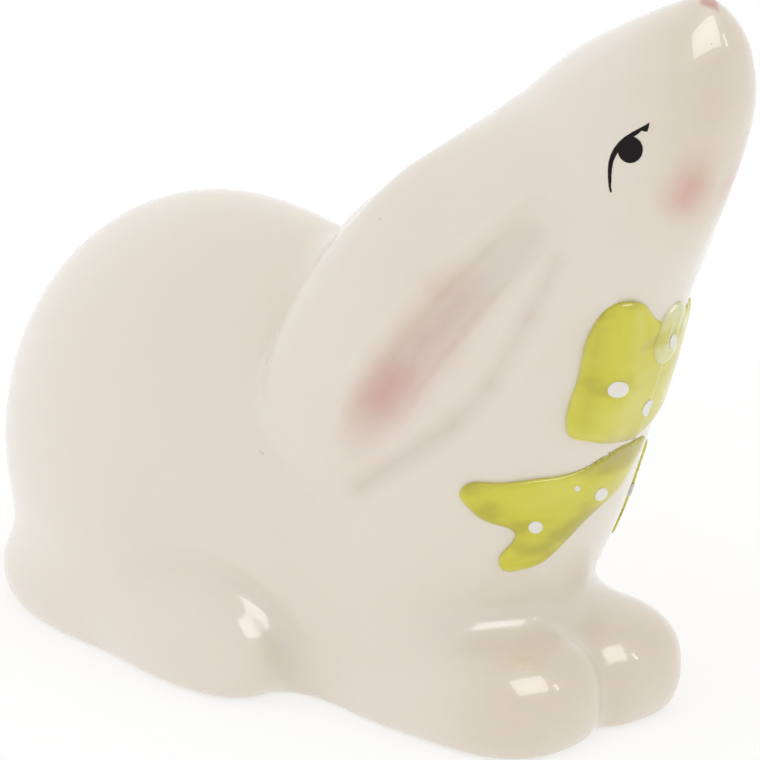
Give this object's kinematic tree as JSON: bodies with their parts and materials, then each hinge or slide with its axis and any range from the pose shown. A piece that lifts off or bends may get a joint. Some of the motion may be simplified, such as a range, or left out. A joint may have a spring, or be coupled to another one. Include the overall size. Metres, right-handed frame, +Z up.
{
  "type": "ceramic rabbit figurine",
  "caption": "Glazed ceramic rabbit lying down with its head raised, lop ears laid back and a dotted bow at the throat; stands on its flat base.",
  "frame": {"origin": "on the ground below the middle of the figure's length and width", "axes": "+X the way the rabbit faces, +Y its left side, +Z up"},
  "size_m": [0.1287, 0.0526, 0.1108],
  "materials": {
    "cream_glaze": "clear gloss glaze over a cream body, unglazed under the base",
    "green_glaze": "lime green underglaze colour with pale dots, under the same clear gloss glaze"
  },
  "bodies": {
    "root": {"body_casting": "cream_glaze", "head_casting": "cream_glaze", "ear_right": "cream_glaze", "ear_left": "cream_glaze", "front_paw_right": "cream_glaze", "front_paw_left": "cream_glaze", "hind_foot_right": "cream_glaze", "hind_foot_left": "cream_glaze", "tail": "cream_glaze", "bow_knot": "green_glaze", "bow_loop_right": "green_glaze", "bow_loop_left": "green_glaze", "bow_tail_right": "green_glaze", "bow_tail_left": "green_glaze"}
  },
  "joints": []
}
